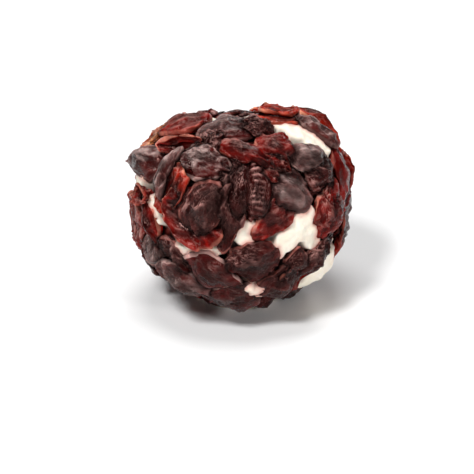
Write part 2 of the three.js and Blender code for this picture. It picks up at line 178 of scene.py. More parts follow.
def bed_radius(direction):
    """The bed's distance from the ball's middle along a unit direction."""
    level = math.hypot(direction.x, direction.y) / BED_HALF_WIDTH
    upright = abs(direction.z) / BED_HALF_HEIGHT
    radius = (level**BED_POWER + upright**BED_POWER) ** (-1 / BED_POWER)
    for towards, (_, _, rise, spread) in zip(SWELL_DIRECTIONS, SWELLS):
        angle = math.degrees(math.acos(max(-1, min(1, towards.dot(direction)))))
        radius += rise * math.exp(-((angle / spread) ** 2))
    return radius


print("bed radius towards the viewer:", round(bed_radius(TO_VIEWER), 2))

# %% Places and slopes on the bed
def outside_bed(point):
    return point.length - bed_radius(point.normalized())


def bed_normal(direction):
    """The direction straight out of the bed, from small steps to both sides along each axis."""
    step = 0.01
    at = direction * bed_radius(direction)
    slopes = []
    for axis in (Vector((1, 0, 0)), Vector((0, 1, 0)), Vector((0, 0, 1))):
        slopes.append(outside_bed(at + axis * step) - outside_bed(at - axis * step))
    return Vector(slopes).normalized()


def direction_seen_at(across, up):
    """The direction to the bed point that is seen at a place, drawn in to the outline."""
    depth, step, halvings = 20, 0.25, 40
    tries = [-depth + step * i for i in range(int(2 * depth / step) + 1)]
    deepest = min(tries, key=lambda t: outside_bed(seen_direction(across, up, t)))
    if outside_bed(seen_direction(across, up, deepest)) >= 0:
        return seen_direction(across, up, deepest).normalized()
    inside, outside = deepest, deepest + 2 * BED_HALF_WIDTH
    for _ in range(halvings):
        middle = (inside + outside) / 2
        if outside_bed(seen_direction(across, up, middle)) < 0:
            inside = middle
        else:
            outside = middle
    return seen_direction(across, up, inside).normalized()


print("slope of the bed over its middle:", [round(part, 2) for part in bed_normal(TO_VIEWER)])

# %% [markdown]
# ## The table of berries
#
# Each berry on the laid-out side is a row, from the outermost to the innermost. Up to the lift,
# the values are the solid's own, but for the seven that were moved. The last two say how the skin
# dried and what colour it has. A berry that is stuck to another one makes one piece with it. The
# berries could be placed by hand, but in a table one look shows which lies over which.

# %% Forms and skins
FORMS = {
    # thick through the middle, cup of the rim over it, fold of the long sides, edge under 1 is blunt
    "plump": dict(thick=4.6, cup=-0.9, fold=0.0, edge=0.95),
    "dome": dict(thick=3.0, cup=-1.5, fold=0.0, edge=0.8),
    "leaf": dict(thick=2.2, cup=0.2, fold=0.0, edge=0.7),
    "shell": dict(thick=2.1, cup=2.2, fold=0.4, edge=0.6),
    "roll": dict(thick=4.4, cup=-0.4, fold=-0.8, edge=0.9),
}
SKINS = {
    # depths in millimetres of broad dents, folds, creases and ribs. stretch is how much longer
    # than wide the folds are, and crinkle is the strength of the finest relief
    "smooth": dict(dent=0.50, folds=0.50, creases=0.10, stretch=3.0, crinkle=0.40),
    "creased": dict(dent=0.60, folds=0.70, creases=0.22, stretch=2.4, crinkle=0.75),
    "crumpled": dict(dent=0.60, folds=0.75, creases=0.36, stretch=1.5, crinkle=1.1),
    "ribbed": dict(dent=0.45, folds=0.25, creases=0.12, stretch=1.4, crinkle=0.55, ribs=0.7),
}
print("forms and skins:", len(FORMS), len(SKINS))

# %% The laid-out berries
LAID_OUT = [
    # name, what it is stuck to, (across, up), turn, (length, width), form, lift, skin, tone
    ("cup_top", "", (-10, 11.2), -27, (16, 9.5), "dome", 2.4, "creased", "bloomy"),
    ("knot", "cup_top", (-7.1, 16.4), 70, (8, 6.5), "plump", 0.9, "crumpled", "dark"),
    ("clam_upper", "", (18.1, 11.9), 12, (13, 8), "dome", 2.4, "smooth", "bloomy"),
    ("slanting_roll", "", (1, 13.2), -33, (15, 6), "roll", 2, "smooth", "red"),
    ("cup_heart", "", (-9.8, -1.1), 58, (14.5, 11), "dome", 2.2, "creased", "dark"),
    ("cup_left", "", (-19.4, 8), 64, (14, 4.8), "roll", 1.9, "smooth", "bloomy"),
    ("lining", "cup_left", (-17.7, 3.4), 62, (14.5, 9), "leaf", 0.6, "creased", "bright"),
    ("lens", "", (-7.0, -18.2), -28, (16, 11), "dome", 1.7, "smooth", "bloomy"),
    ("tall_wrinkled", "", (2.2, 2.9), 90, (15, 10.6), "plump", 1.2, "ribbed", "dark"),
    ("left_wedge", "", (-24.8, 11.4), -20, (13.5, 10.5), "plump", 1.5, "smooth", "bloomy"),
    ("round_end", "", (9.6, 14.8), -20, (11.5, 9.5), "plump", 1, "creased", "red"),
    ("bottom_round", "", (2.9, -14.9), -6, (14, 11), "plump", 1, "creased", "dark"),
    ("right_wrinkled", "", (23.8, -1.2), -112, (15, 13), "plump", 0.9, "crumpled", "red"),
    ("clam_lower", "", (19.8, 9.6), -8, (13, 10.5), "plump", 0.8, "crumpled", "dark"),
    ("top_lump", "", (-3, 20.4), -6, (15, 13), "plump", 0.9, "smooth", "bloomy"),
    ("top_crumple", "top_lump", (4, 20.4), -20, (10, 9), "plump", 1, "crumpled", "dark"),
    ("grey_strip", "", (20, 20.3), -15, (13, 5.2), "roll", 1.8, "creased", "bloomy"),
    ("lower_right_dark", "", (19.2, -13.6), 19, (15.5, 6.8), "plump", 0.8, "crumpled", "dark"),
    ("round_bit", "lower_right_dark", (14.6, -14.2), 17, (7, 6), "plump", 0.8, "creased", "dark"),
    ("left_strip", "", (-23.4, -4.5), -62, (13, 4.8), "roll", 1.1, "smooth", "red"),
    ("left_grey", "", (-22.2, -12.4), 60, (8.8, 8.4), "plump", 0.8, "creased", "bloomy"),
    ("lower_long_dark", "", (10.2, -20.2), 58, (15, 9.5), "plump", 0.6, "creased", "dark"),
    ("top_left_roll", "", (-14.6, 21.8), 10, (13.5, 10), "roll", 1, "smooth", "red"),
    ("cup_right", "", (-3.4, -3.2), 78, (16.5, 9), "leaf", 0.8, "creased", "dark"),
    ("inner_dark", "cup_right", (-2.6, 6.8), 70, (9, 7.5), "leaf", 0.5, "crumpled", "dark"),
    ("cup_lower", "", (-11.8, -3.3), -35, (17.5, 13), "shell", 0, "smooth", "red"),
    ("top_back_red", "", (10.2, 24.4), -5, (9.5, 7), "leaf", 1.5, "smooth", "bright"),
    ("bottom_left_long", "", (-15, -20), -19, (15, 8.5), "roll", 2, "creased", "bloomy"),
    ("bottom_red", "", (-1.8, -24.8), -12, (14, 12), "dome", 1.6, "creased", "bloomy"),
    ("left_small", "", (-23.9, 2.5), -10, (6.2, 4.6), "shell", 0.5, "creased", "red"),
    ("smooth_grey", "", (12.4, 4), -15, (14, 10), "dome", 0.9, "smooth", "bloomy"),
    ("red_bit", "smooth_grey", (9, 9), -20, (8, 7), "leaf", 0.5, "crumpled", "red"),
    ("back_right_strip", "", (20.9, 23.4), -18, (15.5, 4.6), "roll", 1.6, "smooth", "bright"),
    ("right_edge_red", "", (27.3, 9.4), -72, (16, 10.5), "dome", 0.9, "smooth", "red"),
    ("curled_leaf", "", (-14.4, 15), -18, (13, 4.2), "shell", 0.5, "smooth", "red"),
    ("left_scrap", "curled_leaf", (-22.4, 17.4), 20, (12, 7), "leaf", 0.6, "crumpled", "amber"),
    ("lower_long_red", "", (14.3, -18.0), 42, (14, 9), "leaf", 0.3, "creased", "red"),
    ("top_back_flat", "", (-3, 23.8), 3, (14.5, 11), "leaf", 0.1, "smooth", "dark"),
    ("top_back_under", "", (10.6, 22.8), 5, (13, 10), "leaf", 0.2, "smooth", "bright"),
    ("left_outer", "", (-26.9, -4.2), -80, (13.5, 10), "leaf", 1, "creased", "red"),
    ("red_under", "", (8.8, -3.6), 38, (13.5, 7.6), "leaf", 0.1, "creased", "red"),
    ("right_sliver", "", (26.8, -6.6), 70, (14, 10), "leaf", 0.4, "smooth", "red"),
    ("under_front", "", (-7.5, -27), 12, (13, 9), "plump", -1, "creased", "red"),
    ("under_middle", "under_front", (4.5, -27), -14, (12.5, 9.5), "plump", -0.8, "creased", "dark"),
    ("under_right", "", (14, -23.5), 120, (13, 11), "plump", 0.5, "creased", "dark"),
    ("under_cheek", "under_right", (20, -18.5), 130, (12, 11), "plump", 0.5, "creased", "red"),
    ("ridge_dark", "", (-16.8, -14.6), -40, (12, 9), "plump", 0.1, "creased", "dark"),
]
print("laid-out berries:", len(LAID_OUT))

# %% [markdown]
# ## What sets single berries apart
#
# No two dried berries are alike: one has a painted sheen of the sky on top, one a painted glow
# at its rim, one a drawn-out point.
# Each such mark is one plain value here, and a berry that names none has the values of the plain
# one. So a mark can be changed for one berry without touching the rest.

# %% Marks of single berries
PLAIN_MARKS = dict(
    lean=0, nod=0,  # degrees about a laid-out berry's length and about its width
    beyond=0,  # degrees that a laid-out berry lies past its place at the outline
    sunk=0.0,  # millimetres deeper in the bed than its solid
    bend=0.0,  # millimetres that its length bends sideways
    tuck=0.0,  # millimetres that one long side is pressed down, under its neighbour
    uneven=1.0,  # how much of the lobes and the taper it has
    point=None,  # which end is drawn to a point, -1 or 1, and how much further that reaches
    glow=1.0,  # how strongly its rim is painted to glow, as if light came through it
    unlit=0.2,  # how much of that painted glow is left where the rim faces away from the key light
    rim_in=0.0,  # how much further in the rim is thin, as a share of the half width
    bloom_and_sheen=(0.0, 0.05),  # how much grey bloom lies all over, and how much painted sheen of the sky lies on top
    lines=1.0,  # how strong the pale lines on its wrinkles are, and the glints painted on them
)
OWN_MARKS = {
    "cup_top": dict(lean=8, bloom_and_sheen=(0.0, 0.9), unlit=0.9, glow=1.4, rim_in=0.05),
    "clam_upper": dict(lean=8, bloom_and_sheen=(0.35, 0.6), glow=1.5, unlit=0.8),
    "slanting_roll": dict(bloom_and_sheen=(0.0, 0.7), lines=0.6),
    "cup_heart": dict(glow=1.5, bloom_and_sheen=(0.05, 0.1), uneven=0.3, rim_in=0.06),
    "cup_left": dict(lean=-14, bloom_and_sheen=(0.3, 1.2), bend=1.6),
    "lens": dict(bloom_and_sheen=(0.0, 0.2), lines=0.8, point=(1, 0.0), unlit=1.0, glow=1.6, rim_in=0.06),
    "tall_wrinkled": dict(lines=1.6),
    "left_wedge": dict(nod=20, bloom_and_sheen=(0.05, 0.7), glow=1.6, point=(-1, 1.8)),
    "round_end": dict(lines=0.5),
    "right_wrinkled": dict(lines=1.5),
    "clam_lower": dict(lines=1.6),
    "top_lump": dict(bloom_and_sheen=(0.0, 0.4), lines=0.8),
    "top_crumple": dict(lines=0.7),
    "grey_strip": dict(bloom_and_sheen=(0.2, 0.7)),
    "left_strip": dict(glow=1.6, unlit=0.8),
    "left_grey": dict(bloom_and_sheen=(0.4, 0.5)),
    "top_left_roll": dict(bloom_and_sheen=(0.0, 0.45), lines=0.4, glow=1.4),
    "cup_right": dict(glow=1.6, unlit=0.6),
    "cup_lower": dict(glow=1.2, tuck=3.2, unlit=0.4),
    "bottom_left_long": dict(bloom_and_sheen=(0.15, 0.5)),
    "left_small": dict(glow=1.4),
    "smooth_grey": dict(bloom_and_sheen=(0.3, 0.5)),
    "right_edge_red": dict(glow=0.4, lines=0.4),
    "curled_leaf": dict(lean=35, glow=2.2),
    "left_scrap": dict(glow=2),
    "under_front": dict(beyond=14, sunk=0.2),
    "under_middle": dict(beyond=4),
    "under_right": dict(beyond=21),
    "under_cheek": dict(beyond=27),
    # of the far side, where it shows past the outline
    "pair_12_b": dict(skin="smooth", tone="bright", sunk=0.9),
    "pair_16_a": dict(sunk=1.2),
    "pair_17_a": dict(tone="red", lines=0.4),
    "pair_21_b": dict(sunk=1.6),
    "pair_22_a": dict(tone="red", lines=0.4),
    "pair_22_b": dict(tone="red", lines=0.6),
}


def marks_of(name):
    return {**PLAIN_MARKS, **OWN_MARKS.get(name, {})}


print("berries with marks of their own:", len(OWN_MARKS))

# %% [markdown]
# ## From the table to frames
#
# Each berry gets a matrix: x runs along it, y across it and z out of the ball. The far side is
# filled by pairs of berries on a golden-angle spiral, which spreads them evenly without rows. Its
# random draws are fixed numbers from a seed and a use, so that solid and lesson draw the same.

# %% Frames of the laid-out berries
def direction_under(at, lift, beyond):
    """The bed direction over which a lifted berry is seen at its place."""
    rounds = 4
    direction = direction_seen_at(*at)
    for _ in range(rounds):
        normal = bed_normal(direction)
        across = at[0] - lift * normal.dot(SEEN_RIGHT)
        direction = direction_seen_at(across, at[1] - lift * normal.dot(SEEN_UP))
    axis = TO_VIEWER.cross(direction).normalized()
    return Matrix.Rotation(math.radians(beyond), 3, axis) @ direction


def berry_frame(direction, along, lift, lean, nod):
    """The matrix of a berry that lies on the bed in a direction, with its length along another."""
    normal = bed_normal(direction)
    x = (along - normal * along.dot(normal)).normalized()
    y = normal.cross(x)
    basis = Matrix((x, y, normal)).transposed().to_4x4()
    place = Matrix.Translation(direction * bed_radius(direction) + normal * lift)
    tilt = Matrix.Rotation(math.radians(nod), 4, "Y") @ Matrix.Rotation(math.radians(lean), 4, "X")
    return place @ basis @ tilt


def laid_out_berry(row, number):
    name, stuck_to, at, turn, size, form, lift, skin, tone = row
    marks = marks_of(name)
    angle = math.radians(turn)
    along = seen_direction(math.cos(angle), math.sin(angle), 0)
    direction = direction_under(at, lift, marks["beyond"])
    return dict(name=name, node=f"cranberry_{stuck_to or name}", seed=number + 1,
                size=size, form=form, skin=skin, tone=tone,
                matrix=berry_frame(direction, along, lift, marks["lean"], marks["nod"]))


# %% Frames of the pairs on the far side
PAIRS = 24
SPIRAL_REACH = math.radians(90)
SPIRAL_PHASE = -0.22
GOLDEN_ANGLE = math.pi * (3 - math.sqrt(5))
PAIR_SPACING = 7.6
PAIR_SWING = 0.5
BERRY_SWING = 0.6
BERRY_TILT = 8
PAIR_LENGTH = (12.5, 15.5)
PAIR_WIDTH = (10, 12.5)
ROLL_NARROWING = 0.9
PAIR_LIFT = (-0.7, 0.5)
PAIR_FORMS = ["plump", "dome", "plump", "leaf", "roll", "shell"]
PAIR_SKINS = ["creased", "smooth", "crumpled", "creased", "ribbed"]
PAIR_TONES = ["dark", "red", "bloomy", "dark", "red", "bright"]
FIRST_PAIR_SEED = 100


def chance(seed, use):
    """A fixed pseudo-random number from 0 to 1, another one for each use of a seed."""
    wave = math.sin(seed * 12.9898 + use * 78.233) * 43758.5453
    return wave - math.floor(wave)


def swing(seed, use):
    """The same from -1 to 1."""
    return 2 * chance(seed, use) - 1


def between(limits, share):
    return limits[0] + (limits[1] - limits[0]) * share


def pick(choices, seed, use):
    return choices[int(len(choices) * chance(seed, use))]


def spiral_direction(pair):
    away = 1 - (1 - math.cos(SPIRAL_REACH)) * (pair + 0.5) / PAIRS
    turn = pair * GOLDEN_ANGLE + SPIRAL_PHASE
    side = math.sqrt(1 - away**2)
    return seen_direction(side * math.cos(turn), side * math.sin(turn), -away).normalized()


def pair_of_berries(pair):
    """Two berries side by side, with the draws of their solid."""
    direction = spiral_direction(pair)
    aside = TO_VIEWER.cross(direction).normalized()
    aside = Matrix.Rotation(PAIR_SWING * swing(pair, 1), 3, direction) @ aside
    form = pick(PAIR_FORMS, pair, 2)
    pair_name = f"pair_{pair + 1:02d}"
    berries = []
    for side in (-1, 1):
        seed = FIRST_PAIR_SEED + 2 * pair + (side + 1) // 2
        place = (direction + aside * (side * PAIR_SPACING / 2 / BED_HALF_WIDTH)).normalized()
        along = Matrix.Rotation(BERRY_SWING * swing(seed, 3), 3, direction) @ aside.cross(direction)
        width = between(PAIR_WIDTH, chance(seed, 5)) * (ROLL_NARROWING if form == "roll" else 1)
        lift = between(PAIR_LIFT, chance(seed, 6))
        matrix = berry_frame(place, along, lift, BERRY_TILT * swing(seed, 7), BERRY_TILT * swing(seed, 8))
        berries.append(dict(
            name=f"{pair_name}_{'ab'[side > 0]}", node=f"cranberry_{pair_name}", seed=seed,
            size=(between(PAIR_LENGTH, chance(seed, 4)), width), form=form,
            skin=pick(PAIR_SKINS, seed, 9), tone=pick(PAIR_TONES, seed, 10), matrix=matrix))
    return berries


# %% All berries, without those that would cover the foot or the bare cheek
FOOT_CLEAR = 11.5
BARE_CHEEK = ((20.5, -17), 20)  # seen across and up, spread in degrees


def on_bare_cheese(berry):
    place = berry["matrix"].translation
    cheek = seen_direction(*BARE_CHEEK[0], 0)
    on_foot = place.z < 0 and math.hypot(place.x, place.y) < FOOT_CLEAR
    return on_foot or math.degrees(cheek.angle(place)) < BARE_CHEEK[1]


berries = [laid_out_berry(row, number) for number, row in enumerate(LAID_OUT)]
for pair in range(PAIRS):
    berries += [berry for berry in pair_of_berries(pair) if not on_bare_cheese(berry)]
for berry in berries:
    berry.update(marks_of(berry["name"]))
    berry["matrix"] = berry["matrix"] @ Matrix.Translation((0, 0, -berry["sunk"]))
print("berries in all:", len(berries))

# %% [markdown]
# ## The form of a berry
#
# A dried berry is a flattened pocket: plump, or sunk to a dome, a leaf, a cupped shell or a roll.
# It could be drawn by hand with a sculpting brush. Here an icosphere is pushed into shape by a
# formula instead, because its points are spread evenly and every berry can have its own numbers.
# Its rim is ragged, it curls up at the very edge, and the whole berry hugs the ball.

# %% Noise and smooth steps
CREST = 3.2  # how narrow the crest of a fold is


def noise_at(points, width, seed):
    """A smooth noise from about -0.7 to 0.7 at each point, for bumps of that width."""
    shift = [37.1 * chance(seed, use) for use in (20, 21, 22)]
    places = (points / width + shift).tolist()
    return np.array([noise.noise(place) for place in places])


def crest_at(points, width, seed):
    """1 on the crest lines of a crumpled skin and 0 in the broad hollows between them."""
    return np.clip(1 - CREST * np.abs(noise_at(points, width, seed)), 0, 1) ** 1.5


def smooth_share(value, low, high):
    """0 up to the low value, 1 from the high one, and a smooth step between."""
    share = np.clip((value - low) / (high - low), 0, 1)
    return share * share * (3 - 2 * share)


# %% The plain form
LOBES = [(3, 0.05, 12), (5, 0.03, 13)]  # how many round the rim, how deep, and the draw's use
LOBE_TURN = 6  # radians through which a draw can turn the lobes
RAGGED = [(1.6, 0.16), (4.0, 0.06), (9.0, 0.02)]  # finer waves round the rim and their depths
RAGGED_HEIGHT = 0.4  # how much the ragged rim changes through the berry's thickness
TAPER = 0.25
POINT_TAPER = 1.4  # more makes a pointed end slimmer
POINT_LEFT = 0.02  # keeps the very tip from closing to nothing
CURL = 0.7  # how far opposite corners curl up
SPREAD = 1.05  # the fine skin reaches this much further over its neighbours than the solid
LIP = 0.55  # how far the very edge curls up
LIP_STARTS = 0.8  # the share of the half width where it begins
TUCK_ENDS = 0.8  # and the share from which a tucked side is fully down


def rim_reach(unit, berry):
    """How far out each direction reaches, about 1: lobes like the solid's, and a ragged rim."""
    turn = np.arctan2(unit[:, 1], unit[:, 0])
    seed = berry["seed"]
    reach = sum(depth * np.sin(count * turn + LOBE_TURN * chance(seed, use)) for count, depth, use in LOBES)
    circle = np.column_stack([np.cos(turn), np.sin(turn), RAGGED_HEIGHT * unit[:, 2]])
    reach += sum(depth * noise_at(circle, 1 / waves, seed + waves) for waves, depth in RAGGED)
    return 1 + berry["uneven"] * reach


def skin_form(unit, berry):
    """The plain form of a berry: points of a unit sphere moved to the solid's own rule."""
    form, seed = FORMS[berry["form"]], berry["seed"]
    length, width = (SPREAD * value for value in berry["size"])
    ux, uy, uz = unit.T
    from_middle = np.hypot(ux, uy)
    reach = rim_reach(unit, berry)
    taper = 1 - berry["uneven"] * TAPER * swing(seed, 14) * ux
    x = length / 2 * reach * ux
    if berry["point"]:
        end, further = berry["point"]
        taper *= np.sqrt(np.clip((1 - end * ux) / POINT_TAPER, POINT_LEFT, 1))
        x += end * further * smooth_share(end * ux, 0.0, 1)
    y = width / 2 * reach * taper * uy + berry["bend"] * (0.5 - ux**2)
    hug = (x**2 + y**2) / (2 * BED_HALF_WIDTH)
    middle = form["cup"] * from_middle**2 + form["fold"] * np.abs(uy) - hug
    middle += CURL * swing(seed, 15) * ux * uy
    middle += LIP * smooth_share(from_middle, LIP_STARTS, 1.0)
    middle -= berry["tuck"] * smooth_share(uy, 0.0, TUCK_ENDS)
    half = form["thick"] / 2 * np.abs(uz) ** form["edge"]
    return np.column_stack([x, y, middle + np.sign(uz) * half])


# %% [markdown]
# ## The skin of a dried cranberry
#
# A fresh cranberry is a taut sphere. Dried, it loses most of its volume while the skin keeps its
# area, so the skin buckles: broad dents first, then folds that run mostly lengthwise, then fine
# creases. A displacement texture could do it, but would be lost from the exported mesh. So the
# mesh itself is moved, in that order. A crest line is where a noise passes through nought, which
# gives thin ridges that wander and fork, as on a raisin. One kind of skin has dried in ribs that
# run out from a groove along the berry.

# %% Relief of the skin
DENT_WIDTH = 5.0
FOLD_WIDTH = 3.0
CREASE_WIDTH = 1.15
WARP = (3.5, 1.6)  # width of the waves that bend the folds, and how far
RIB_SPACING = 1.4
RIBS_BEGIN = (0.4, 1.2)  # how far beside the groove the ribs rise
RIBS_END = (2.8, 4.6)  # and how far they fade
GROOVE_WIDTH = 0.7
GROOVE_DEPTH = 1.2
RIB_BACK = 0.7  # under 1 rounds the backs of the ribs
RIB_LINE = (1.1, 3)  # how pale their crests are, with rubbed wax and painted glints, and how narrow the line is
RIM_FLATTENS = 0.5  # the share of the wrinkles that the thin rim loses


def ribs_and_groove(points, warp):
    """Where the ribs are, the wave of their backs, and the groove, each from 0 to 1."""
    along, across = points[:, 0] + 0.5 * warp[:, 0], points[:, 1] + 0.8 * warp[:, 1]
    beside = -across
    band = smooth_share(beside, *RIBS_BEGIN) * (1 - smooth_share(beside, *RIBS_END))
    return band, np.abs(np.cos(math.pi * along / RIB_SPACING)), np.exp(-((across / GROOVE_WIDTH) ** 2))


def berry_relief(points, rim, berry):
    """How far the skin stands out, in millimetres, how pale its crests are with rubbed wax and painted
    glints, and its groove.
    """
    skin, seed = SKINS[berry["skin"]], berry["seed"]
    warp = np.column_stack([noise_at(points, WARP[0], seed + add) for add in (0.2, 0.3, 0.4)])
    stretched = (points + WARP[1] * warp) / [skin["stretch"], 1, 1]
    folds = skin["folds"] * crest_at(stretched, FOLD_WIDTH, seed + 0.5)
    wrinkles = folds + skin["creases"] * crest_at(stretched, CREASE_WIDTH, seed + 0.7)
    dents = skin["dent"] * 2 * noise_at(points, DENT_WIDTH, seed + 0.9)
    pale = wrinkles
    groove = np.zeros(len(points))
    if "ribs" in skin:
        band, wave, groove = ribs_and_groove(points, warp)
        wrinkles = wrinkles + skin["ribs"] * band * wave**RIB_BACK
        pale = wrinkles * (1 - band) + RIB_LINE[0] * band * wave**RIB_LINE[1]
        dents -= GROOVE_DEPTH * groove
    mean_height = 0.5 * (skin["folds"] + skin["creases"])
    return dents + (wrinkles - mean_height) * (1 - RIM_FLATTENS * rim), pale, groove


# %% Reading and writing a mesh's points
def unit_sphere(name, detail):
    """An icosphere's mesh and its points as unit directions."""
    bm = bmesh.new()
    bmesh.ops.create_icosphere(bm, subdivisions=detail, radius=1.0)
    mesh = bpy.data.meshes.new(name)
    bm.to_mesh(mesh)
    bm.free()
    unit = get_points(mesh).astype(float)
    return mesh, unit / np.linalg.norm(unit, axis=1)[:, None]


def get_points(mesh):
    points = np.empty(len(mesh.vertices) * 3, np.float32)
    mesh.vertices.foreach_get("co", points)
    return points.reshape(-1, 3)


def set_points(mesh, points):
    mesh.vertices.foreach_set("co", points.astype(np.float32).ravel())
    mesh.update()


def get_normals(mesh):
    normals = np.empty(len(mesh.vertices) * 3, np.float32)
    mesh.vertex_normals.foreach_get("vector", normals)
    return normals.reshape(-1, 3)


def add_values(mesh, name, values):
    """Stores one value or one vector for each point, which a material can read by that name."""
    kind = "FLOAT_VECTOR" if values.ndim == 2 else "FLOAT"
    attribute = mesh.attributes.new(name, kind, "POINT")
    attribute.data.foreach_set("vector" if values.ndim == 2 else "value", values.astype(np.float32).ravel())


# %% [markdown]
# ## Sculpt a berry and note what its colour needs
#
# The finish depends on the form and on where the light falls: a thin rim is painted to glow, most
# where it faces the key light, a painted sheen of the sky lies on top beside the bloom, and a crest
# is rubbed pale and painted paler still, as a glint, where it faces the sky. A material could guess
# at this from slopes, but the sculpting knows it exactly. So each berry's mesh carries these values
# as attributes, and one material serves many berries.

# %% Sculpt a berry
RIM_BAND = 0.30  # the share of the half thickness that counts as the rim
RUFFLE = (3.2, 0.8)  # width and height of the waves of a dried rim
RUFFLE_MIDDLE = 0.3  # the share of them that the middle has
FLOOR_GAP = 0.02
SEED_SPACING = 50  # keeps the patterns of two berries apart
THIN_RIM = (0.955, 0.997)  # shares of the half width between which the rim is painted to glow
RIM_TO_LIGHT = (-0.1, 0.7)  # how far a rim faces the key light where its painted glow begins and is full
ON_TOP = (0.55, 1.0)  # the same for the skin and the sky, for the painted sheen of the sky on top
FACES_UP = (-0.1, 0.9)  # and for the pale lines, which are painted paler as glints where they face the sky
# a groove counts as thin flesh, so it is painted lighter, as if lit through
GROOVE_THINS = 1.5
# the key light's direction and the sky's, from which the rim glow, the sheen and the glints are painted
TO_LIGHT = np.array((SEEN_UP * 0.85 - SEEN_RIGHT * 0.5).normalized())
TO_SKY = np.array((SEEN_UP * 0.9 - SEEN_RIGHT * 0.45 + TO_VIEWER * 0.2).normalized())


def note_painted_light_and_bloom(mesh, unit, turned, groove, berry):
    """Stores where the berry is thin, where its rim glow and the sheen of the sky are painted, where bloom
    lies, and how much it faces the sky for painted glints.
    """
    from_middle = np.hypot(unit[:, 0], unit[:, 1])
    outward = (unit * [1, 1, 0]) @ turned.T
    unlit = berry["unlit"]
    # the painted rim glow is strongest on the side that faces the key light
    lit_edge = unlit + (1 - unlit) * smooth_share(outward @ TO_LIGHT, *RIM_TO_LIGHT)
    edge = smooth_share(from_middle + berry["rim_in"], *THIN_RIM)
    facing = get_normals(mesh) @ TO_SKY
    frost_all_over, painted_sheen_on_top = berry["bloom_and_sheen"]
    add_values(mesh, "thin", from_middle + GROOVE_THINS * groove)
    add_values(mesh, "rim", edge * lit_edge * berry["glow"])
    # grey bloom all over, and a painted sheen of the sky where the skin faces it
    add_values(mesh, "bloom_and_sheen", frost_all_over + painted_sheen_on_top * smooth_share(facing, *ON_TOP))
    # how much the skin faces the sky, for the glints painted on the pale lines
    add_values(mesh, "lit", smooth_share(facing, *FACES_UP))


def sculpt_berry(berry, detail):
    """A mesh of one berry, in metres in its place, with the attributes that its colour needs."""
    mesh, unit = unit_sphere(berry["name"], detail)
    points = skin_form(unit, berry)
    rim = np.exp(-((unit[:, 2] / RIM_BAND) ** 2))
    ruffle = RUFFLE[1] * noise_at(points * [1, 1, 0], RUFFLE[0], berry["seed"] + 0.1)
    points[:, 2] += ruffle * (RUFFLE_MIDDLE + (1 - RUFFLE_MIDDLE) * rim)
    set_points(mesh, points)
    relief, pale, groove = berry_relief(points, rim, berry)
    add_values(mesh, "wrinkle", pale)
    add_values(mesh, "skin_place", points + SEED_SPACING * berry["seed"])
    add_values(mesh, "lines", np.full(len(points), berry["lines"]))
    add_values(mesh, "crinkle", np.full(len(points), SKINS[berry["skin"]]["crinkle"]))
    points = points + get_normals(mesh) * relief[:, None]
    matrix = Matrix.Translation(MIDDLE) @ berry["matrix"]
    turned = np.array(matrix.to_3x3())
    points = points @ turned.T + np.array(matrix.translation)
    points[:, 2] = np.maximum(points[:, 2], FLOOR_GAP)
    set_points(mesh, points * MM)
    note_painted_light_and_bloom(mesh, unit, turned, groove, berry)
    mesh.polygons.foreach_set("use_smooth", [True] * len(mesh.polygons))
    return mesh


BERRY_DETAIL = 5
for berry in berries:
    berry["mesh"] = sculpt_berry(berry, BERRY_DETAIL)
print("faces of a berry:", len(berries[0]["mesh"].polygons))

# %% [markdown]
# ## Painted shade at the contacts
#
# Where two berries touch, hardly any light gets in, so the line between them lies in deep shade. A
# render with few bounces leaves it too light, so that shade is painted into the colour: each point
# also notes how far the nearest other berry is. Coarse copies of the berries are near enough for
# that, and searching them is much quicker.

# %% Distance to the nearest other berry
CONTACT_REACH = 1.3
CONTACT_DETAIL = 3


def tree_of(*meshes):
    """A search tree over the faces of some meshes."""
    bm = bmesh.new()
    for mesh in meshes:
        bm.from_mesh(mesh)
    tree = BVHTree.FromBMesh(bm)
    bm.free()
    return tree


def add_contacts(berries):
    """Stores how far each point is from the nearest other berry, up to the reach."""
    trees = [tree_of(sculpt_berry(berry, CONTACT_DETAIL)) for berry in berries]
    places = [get_points(berry["mesh"]) for berry in berries]
    middles = [points.mean(axis=0) for points in places]
    reaches = [np.linalg.norm(points - middle, axis=1).max() for points, middle in zip(places, middles)]
    for one, berry in enumerate(berries):
        gap = np.full(len(places[one]), CONTACT_REACH)
        for other, tree in enumerate(trees):
            apart = np.linalg.norm(middles[one] - middles[other])
            if other == one or apart > reaches[one] + reaches[other]:
                continue
            from_other = np.linalg.norm(places[one] - middles[other], axis=1)
            for index in np.nonzero(from_other < reaches[other] + CONTACT_REACH * MM)[0]:
                distance = tree.find_nearest(places[one][index], gap[index] * MM)[3]
                if distance is not None:
                    gap[index] = distance / MM
        add_values(berry["mesh"], "gap", gap)


add_contacts(berries)
print("contacts noted, up to millimetres:", CONTACT_REACH)

# %% [markdown]
# ## The flesh of the fruit
#
# Dried cranberry is a dark red gel inside a waxy skin. Where it is thick hardly any light comes
# back, so it is nearly black. It clears in blotches, and where it is thin and at a rim the light
# goes through, so it glows red to amber. A true volume would be slow and would not export, so that
# light is painted into the colour from the thin and rim attributes and a noise: lighter flesh where
# it is thin, and a glow on the rim that is strongest where it faces the key light. A blotch is about
# 4 mm wide.

# %% Flesh and glowing rims
BLOTCH_SIZE = 4.0


def add_node(tree, kind, inputs=None, **settings):
    """Adds a node with its settings. An input gets a value, or a link from an output."""
    node = tree.nodes.new(kind)
    for name, value in settings.items():
        setattr(node, name, value)
    for name, value in (inputs or {}).items():
        if isinstance(value, bpy.types.NodeSocket):
            tree.links.new(value, node.inputs[name])
        else:
            node.inputs[name].default_value = value
    return node


